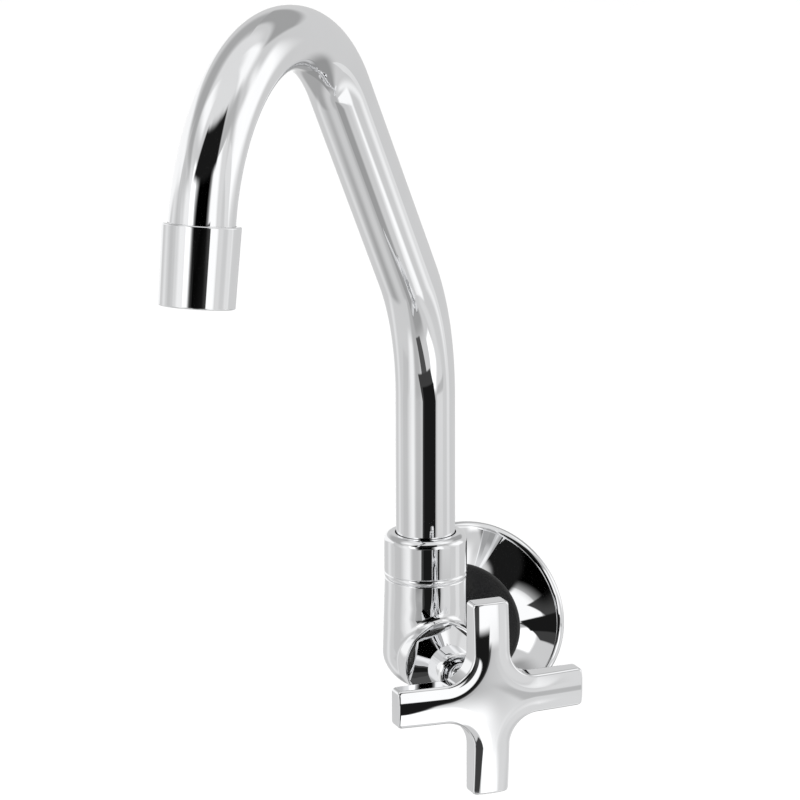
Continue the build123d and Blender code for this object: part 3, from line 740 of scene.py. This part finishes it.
def cross_handle():
    """Crowned cross with rounded edges, one smooth front and a flat back."""
    skin = Skin()
    known = {}

    def at(x, y, z):
        key = (round(x * 1e7), round(y * 1e7), round(z * 1e7))
        if key not in known:
            place = swivel_point + valve_side * x + up * y + valve_dir * z
            known[key] = skin.add_ring([place])[0]
        return known[key]

    def to_space(x, y, z):
        return (valve_side * x + up * y + valve_dir * z).normalized()

    def face(corners):
        ring = []
        for number, normal in corners:
            if not ring or number != ring[-1][0]:
                ring.append((number, normal))
        if ring[0][0] == ring[-1][0]:
            ring.pop()
        if len(ring) > 2:
            skin.faces.append(tuple(number for number, _ in ring))
            skin.normals.extend(normal for _, normal in ring)

    def front_corner(x, y):
        slope_x, slope_y = crown_tilt(x, y)
        return at(x, y, crown(x, y)), to_space(-slope_x, -slope_y, 1)

    # Front, one sector for each arm, in rows across it
    half = arm_outline(front_round)
    diagonal = half[0][0]
    rows = [(diagonal * i / side_steps, diagonal * i / side_steps) for i in range(side_steps + 1)]
    rows += [(x, y) for x, y, _ in half[1:]]
    for c, s in quarter_turns:
        grid = []
        for x, y in rows:
            row = []
            for j in range(across_steps + 1):
                across = -y + 2 * y * j / across_steps
                row.append(front_corner(x * c - across * s, x * s + across * c))
            grid.append(row)
        for low, high in zip(grid, grid[1:]):
            for j in range(across_steps):
                face((low[j], high[j], high[j + 1], low[j + 1]))

    # Rounded front edge, side, rounded back edge
    rings = []
    outer = cross_outline()
    for i in range(edge_steps + 1):
        turn = math.radians(90 * (1 - i / edge_steps))
        inset = front_round * (1 - math.cos(turn))
        ring = []
        for x, y, n in outer:
            px, py = x - n[0] * inset, y - n[1] * inset
            drop = front_round * (1 - math.sin(turn))
            slope_x, slope_y = crown_tilt(px, py)
            lift = math.sin(turn)
            normal = to_space(
                n[0] * math.cos(turn) - slope_x * lift,
                n[1] * math.cos(turn) - slope_y * lift,
                lift,
            )
            ring.append((at(px, py, crown(px, py) - drop), normal))
        rings.append(ring)
    for i in range(edge_steps + 1):
        turn = math.radians(90 * i / edge_steps)
        inset = back_round * (1 - math.cos(turn))
        height = handle_back + back_round * (1 - math.sin(turn))
        ring = []
        for x, y, n in outer:
            normal = to_space(n[0] * math.cos(turn), n[1] * math.cos(turn), -math.sin(turn))
            ring.append((at(x - n[0] * inset, y - n[1] * inset, height), normal))
        rings.append(ring)
    count = len(outer)
    for high, low in zip(rings, rings[1:]):
        for i in range(count):
            j = (i + 1) % count
            face((low[i], low[j], high[j], high[i]))

    # Flat back
    behind = to_space(0, 0, -1)
    middle = at(0, 0, handle_back)
    last = rings[-1]
    for i in range(count):
        j = (i + 1) % count
        face(((last[i][0], behind), (middle, behind), (last[j][0], behind)))
    return skin.piece("cross_handle")


def handle_hub():
    """Round hub with its flare, the splined stem's hole and the grub screw's hole."""
    end_r, root_r, flare, bore = 5.1 * mm, 6.4 * mm, 4.3 * mm, 3.6 * mm
    end, inside, small = 28.2 * mm, 45.4 * mm, 0.25 * mm
    buried = handle_back + 0.4 * mm
    screw_along, screw_r, screw_start, screw_end = 42.3 * mm, 2.05 * mm, 3.0 * mm, 11.0 * mm
    profile = (
        line((0, inside), (bore, inside))
        + line((bore, inside), (bore, end))
        + line((bore, end), (end_r - small, end))
        + arc((end_r - small, end + small), small, -90, 0, 6)
        + line((end_r, end + small), (root_r, handle_back - flare))
        + arc((root_r + flare, handle_back - flare), flare, 180, 90, 32)
        + line((root_r + flare, handle_back), (root_r + flare, buried))
        + line((root_r + flare, buried), (0, buried))
    )
    hub = turned("handle_hub", profile, swivel_point, valve_dir, valve_side)
    screw_hole = turned(
        "screw hole",
        line((0, screw_start), (screw_r, screw_start))
        + line((screw_r, screw_start), (screw_r, screw_end))
        + line((screw_r, screw_end), (0, screw_end)),
        swivel_point + valve_dir * screw_along,
        -up,
        valve_side,
        64,
    )
    carve(hub, screw_hole)
    return hub


# Inlet thread: half-inch pipe thread, 14 turns to the inch
thread_crest = 10.46 * mm
thread_depth = 1.16 * mm
thread_pitch = 1.814 * mm
thread_root_width = 0.94 * thread_pitch
thread_crest_width = 0.16 * thread_pitch
thread_start = 1.4 * mm
thread_turns = 7
thread_run_out = 0.07       # share of the thread that fades out at each end
thread_tip_share = 0.02     # of the ridge's section, left at its very ends
thread_sunk = 0.05 * mm     # depth of the ridge's foot inside the shank
steps_per_turn = 96


def ridge_tree():
    """Geometry nodes: a ridge that climbs round an axis and runs out at both ends."""
    tree = bpy.data.node_groups.new("thread ridge", "GeometryNodeTree")
    for name in ("Root radius", "Pitch", "Turns", "Height", "Root width", "Crest width", "Run-out"):
        tree.interface.new_socket(name, in_out="INPUT", socket_type="NodeSocketFloat")
    tree.interface.new_socket("Material", in_out="INPUT", socket_type="NodeSocketMaterial")
    tree.interface.new_socket("Geometry", in_out="OUTPUT", socket_type="NodeSocketGeometry")
    made, links = tree.nodes, tree.links
    given = made.new("NodeGroupInput")
    result = made.new("NodeGroupOutput")
    work = maths(tree)

    helix = made.new("GeometryNodeCurveSpiral")
    helix.inputs["Resolution"].default_value = steps_per_turn
    links.new(given.outputs["Turns"], helix.inputs["Rotations"])
    links.new(given.outputs["Root radius"], helix.inputs["Start Radius"])
    links.new(given.outputs["Root radius"], helix.inputs["End Radius"])
    climb = work("MULTIPLY", given.outputs["Pitch"], given.outputs["Turns"])
    links.new(climb, helix.inputs["Height"])
    upright = made.new("GeometryNodeSetCurveNormal")
    upright.mode = "Z_UP"
    links.new(helix.outputs["Curve"], upright.inputs["Curve"])

    along = made.new("GeometryNodeSplineParameter").outputs["Factor"]
    rise = work("DIVIDE", along, given.outputs["Run-out"])
    fall = work("DIVIDE", work("SUBTRACT", 1.0, along), given.outputs["Run-out"])
    part = work("MINIMUM", work("MINIMUM", rise, fall), 1.0)
    ridge = made.new("GeometryNodeCurvePrimitiveQuadrilateral")
    ridge.mode = "TRAPEZOID"
    links.new(given.outputs["Height"], ridge.inputs["Height"])
    links.new(given.outputs["Root width"], ridge.inputs["Bottom Width"])
    links.new(given.outputs["Crest width"], ridge.inputs["Top Width"])
    ridge.inputs["Offset"].default_value = 0.0
    half_height = made.new("ShaderNodeCombineXYZ")
    links.new(work("MULTIPLY", given.outputs["Height"], 0.5), half_height.inputs["Y"])
    raised = made.new("GeometryNodeTransform")
    links.new(ridge.outputs["Curve"], raised.inputs["Geometry"])
    links.new(half_height.outputs["Vector"], raised.inputs["Translation"])
    turned_out = made.new("GeometryNodeTransform")
    turned_out.inputs["Rotation"].default_value = (0, 0, math.radians(90))
    links.new(raised.outputs["Geometry"], turned_out.inputs["Geometry"])
    swept = made.new("GeometryNodeCurveToMesh")
    swept.inputs["Fill Caps"].default_value = True
    links.new(upright.outputs["Curve"], swept.inputs["Curve"])
    links.new(turned_out.outputs["Geometry"], swept.inputs["Profile Curve"])
    links.new(work("MAXIMUM", part, thread_tip_share), swept.inputs["Scale"])
    whole = made.new("GeometryNodeRealizeInstances")
    links.new(swept.outputs["Mesh"], whole.inputs["Geometry"])
    painted = made.new("GeometryNodeSetMaterial")
    links.new(whole.outputs["Geometry"], painted.inputs["Geometry"])
    links.new(given.outputs["Material"], painted.inputs["Material"])
    links.new(painted.outputs["Geometry"], result.inputs["Geometry"])
    return tree


def grown(name, tree, values):
    """Plain mesh made by a geometry nodes tree with the named inputs."""
    mesh = bpy.data.meshes.new(name)
    made = bpy.data.objects.new(name, mesh)
    bpy.context.scene.collection.objects.link(made)
    grow = made.modifiers.new("grow", "NODES")
    grow.node_group = tree
    for item in tree.interface.items_tree:
        if item.in_out == "INPUT":
            grow[item.identifier] = values[item.name]
    bpy.context.view_layer.update()
    ready = made.evaluated_get(bpy.context.evaluated_depsgraph_get())
    made.data = bpy.data.meshes.new_from_object(ready)
    made.modifiers.clear()
    made.data.name = name
    return made


def inlet_thread():
    """Thread ridge round the inlet's axis, in place behind the flange."""
    ridge = grown(
        "inlet_thread",
        ridge_tree(),
        {
            "Root radius": thread_crest - thread_depth - thread_sunk,
            "Pitch": thread_pitch,
            "Turns": float(thread_turns),
            "Height": thread_depth + thread_sunk,
            "Root width": thread_root_width,
            "Crest width": thread_crest_width,
            "Run-out": thread_run_out,
            "Material": cut_chrome,
        },
    )
    along_inlet = Matrix.Rotation(math.radians(-90), 4, "X")
    ridge.data.transform(Matrix.Translation((0, thread_start, 0)) @ along_inlet)
    ridge.data.update()
    return ridge


def turn_down_shank(body):
    """Takes the body's plain shank down to the root of its thread."""
    root = thread_crest - thread_depth
    start, end, beyond = 0.9 * mm, 16 * mm, 12 * mm
    ring = turned(
        "shank blank",
        line((root, start), (beyond, start))
        + line((beyond, start), (beyond, end))
        + line((beyond, end), (root, end))
        + line((root, end), (root, start)),
        inlet_point,
        -room,
        sideways,
        144,
    )
    carve(body, ring)


cast_body = merged_copy("valve_body", "cast_body")
turn_down_shank(cast_body)
fit(cast_body, "valve_body", "body", chrome)
fit(inlet_thread(), "valve_body", "body", cut_chrome)
fit(merged_copy("bonnet", "hexagon_bonnet", broken=0.22 * mm), "bonnet", "body", chrome)
fit(cross_handle(), "handle", "stem", chrome)
fit(handle_hub(), "handle", "stem", chrome)

# Pieces that keep their CAD shape
for material, kept in (
    (
        seal_rubber,
        (
            "bonnet_washer",
            "seat_seal",
            "stem_seal_inner",
            "stem_seal_outer",
            "spout_seal_lower",
            "spout_seal_upper",
            "aerator_washer",
        ),
    ),
    (ceramic, ("fixed_disc", "moving_disc")),
    (brass, ("stem", "spout_base", "outlet_ferrule")),
    (steel, ("stem_clip", "spout_clip", "aerator_screens")),
    (black_steel, ("handle_screw",)),
    (white_plastic, ("slip_washer", "aerator_housing", "aerator_diffuser")),
    (grey_plastic, ("aerator_grid",)),
):
    for node in kept:
        dress(nodes[node], material)

# Floor
floor_size, floor_drop = 20, 0.15
bpy.ops.mesh.primitive_plane_add(size=floor_size, location=(0, 0, cad_low.z - floor_drop))
floor = bpy.context.object
floor.name = "floor"
dress(floor, pale_floor)
floor.visible_glossy = False
see_through_from_below(pale_floor)

# Studio that the mirror surfaces show: soft windows and dark flags all round the tap.
# Directions are in degrees, from the camera's side: azimuth to the right, elevation upwards.


def soft_window_group():
    """Node group: how far a direction lies inside a window with soft edges."""
    group = bpy.data.node_groups.new("soft window", "ShaderNodeTree")
    for name in ("Azimuth", "Elevation", "Left", "Right", "Low", "High", "Softness", "Lean"):
        group.interface.new_socket(name, in_out="INPUT", socket_type="NodeSocketFloat")
    group.interface.new_socket("Cover", in_out="OUTPUT", socket_type="NodeSocketFloat")
    made, links = group.nodes, group.links
    given = made.new("NodeGroupInput")
    result = made.new("NodeGroupOutput")
    work = maths(group)

    def rise(value, edge, direction):
        """From 0 to 1 over the softness, centred on the edge."""
        distance = work("MULTIPLY", work("SUBTRACT", value, edge), direction)
        part = work("ADD", work("DIVIDE", distance, given.outputs["Softness"]), 0.5)
        clamp = made.new("ShaderNodeMapRange")
        clamp.interpolation_type = "SMOOTHSTEP"
        links.new(part, clamp.inputs["Value"])
        return clamp.outputs["Result"]

    level = given.outputs["Elevation"]
    middle = work("MULTIPLY", work("ADD", given.outputs["Low"], given.outputs["High"]), 0.5)
    shifted = work(
        "SUBTRACT",
        given.outputs["Azimuth"],
        work("MULTIPLY", work("SUBTRACT", level, middle), given.outputs["Lean"]),
    )
    across = work(
        "MULTIPLY",
        rise(shifted, given.outputs["Left"], 1),
        rise(shifted, given.outputs["Right"], -1),
    )
    along = work(
        "MULTIPLY",
        rise(level, given.outputs["Low"], 1),
        rise(level, given.outputs["High"], -1),
    )
    links.new(work("MULTIPLY", across, along), result.inputs["Cover"])
    return group


# Left, right, low, high, softness, lean and brightness. Later windows lie over earlier ones.
studio_base = 0.64
plain_light = 1.2       # on everything that is no mirror
studio_windows = (
    (-400, 400, 57, 120, 11.7, -0.5, 0.77),
    (-400, 400, -120, -81, 5.6, 0.1, 0.50),
    (-9, 61, -120, -53, 16, -0.9, 0.35),
    (-164, -115, -15, 25, 12.3, 2, 1.00),
    (-65, -40, -54, 30, 16, -0.1, 0.93),
    (80, 121, -7, 27, 12.4, -0.3, 1.07),
    (-102, -57, 48, 68, 14.3, -0.4, 1.04),
    (71, 127, 49, 72, 16, 1, 1.04),
    (69, 95, -80, -50, 5.3, 0.4, 1.06),
    (-400, -88, 25, 54, 16, -1.9, 0.41),
    (124, 400, 22, 46, 7.4, -0.8, 0.37),
    (-400, -139, -67, -25, 15.9, -1.9, 0.39),
    (128, 186, -78, -31, 16, 0.2, 0.31),
    (-98, -74, -37, 25, 6.2, -0.2, 0.57),
    (-129, -115, -47, 9, 16, 0.4, 0.81),
    (-88, -84, -25, 32, 10.3, -0.8, 0.64),
    (-75, -66, -18, 14, 16, -0.6, 0.75),
    (96, 103, -69, 39, 16, -0.1, 1.09),
    (82, 95, -38, 31, 1.5, -1, 0.78),
    (-40, -16, -84, -13, 16, 0, 0.47),
    (-48, -30, 2, 36, 5.6, -0.3, 1.28),
    (28, 63, -27, 52, 14.5, 0.4, 0.47),
    (44, 59, -43, -11, 8.6, 0.7, 1.30),
    (24, 54, -12, 32, 1.5, 0.1, 1.07),
    (29, 47, -46, -19, 4.4, -0.1, 1.27),
    (52, 69, -60, 32, 9.2, -0.1, 0.73),
    (46, 73, -27, -12, 9.5, -0.4, 0.72),
    (48, 77, -20, -17, 1.5, -2, 0.50),
    (-14, 7, -54, -25, 1.6, 0.4, 0.08),
    (-17, 34, -31, -12, 1.5, 1, 0.05),
    (-21, 24, -14, 5, 1.5, 0.7, 0.06),
    (-24, 24, -2, 58, 16, 0.1, 0.00),
    (-41, 39, 29, 57, 6.6, 0.4, 0.01),
    (-6, 38, -23, -10, 1.5, 0.6, 0.01),
)


def studio():
    """World of soft windows for mirror surfaces, plain white for everything else."""
    world = bpy.data.worlds.new("studio")
    bpy.context.scene.world = world
    world.use_nodes = True
    tree = world.node_tree
    tree.nodes.clear()
    links = tree.links

    work = maths(tree)
    place = tree.nodes.new("ShaderNodeTexCoord")
    turn = tree.nodes.new("ShaderNodeVectorRotate")
    turn.rotation_type = "Z_AXIS"
    turn.inputs["Angle"].default_value = -camera_azimuth
    links.new(place.outputs["Generated"], turn.inputs["Vector"])
    parts = tree.nodes.new("ShaderNodeSeparateXYZ")
    links.new(turn.outputs["Vector"], parts.inputs["Vector"])
    azimuth = work("ARCTAN2", parts.outputs["X"], work("MULTIPLY", parts.outputs["Y"], -1))
    azimuth = work("DEGREES", azimuth)
    elevation = work("DEGREES", work("ARCSINE", parts.outputs["Z"]))
    group = soft_window_group()
    base = tree.nodes.new("ShaderNodeValue")
    base.outputs[0].default_value = studio_base
    level = base.outputs[0]
    for *edges, brightness in studio_windows:
        window = tree.nodes.new("ShaderNodeGroup")
        window.node_tree = group
        links.new(azimuth, window.inputs["Azimuth"])
        links.new(elevation, window.inputs["Elevation"])
        for name, value in zip(("Left", "Right", "Low", "High", "Softness", "Lean"), edges):
            window.inputs[name].default_value = value
        mix = tree.nodes.new("ShaderNodeMix")
        mix.data_type = "FLOAT"
        links.new(window.outputs["Cover"], mix.inputs["Factor"])
        links.new(level, mix.inputs["A"])
        mix.inputs["B"].default_value = brightness
        level = mix.outputs["Result"]
    mirrored = tree.nodes.new("ShaderNodeBackground")
    links.new(level, mirrored.inputs["Strength"])
    plain = tree.nodes.new("ShaderNodeBackground")
    plain.inputs["Strength"].default_value = plain_light
    for background in (mirrored, plain):
        background.inputs["Color"].default_value = (1, 1, 1, 1)
    path = tree.nodes.new("ShaderNodeLightPath")
    choose = tree.nodes.new("ShaderNodeMixShader")
    links.new(path.outputs["Is Glossy Ray"], choose.inputs[0])
    links.new(plain.outputs[0], choose.inputs[1])
    links.new(mirrored.outputs[0], choose.inputs[2])
    out = tree.nodes.new("ShaderNodeOutputWorld")
    links.new(choose.outputs[0], out.inputs["Surface"])


studio()
bpy.context.scene.view_settings.view_transform = "Standard"

bpy.context.view_layer.update()
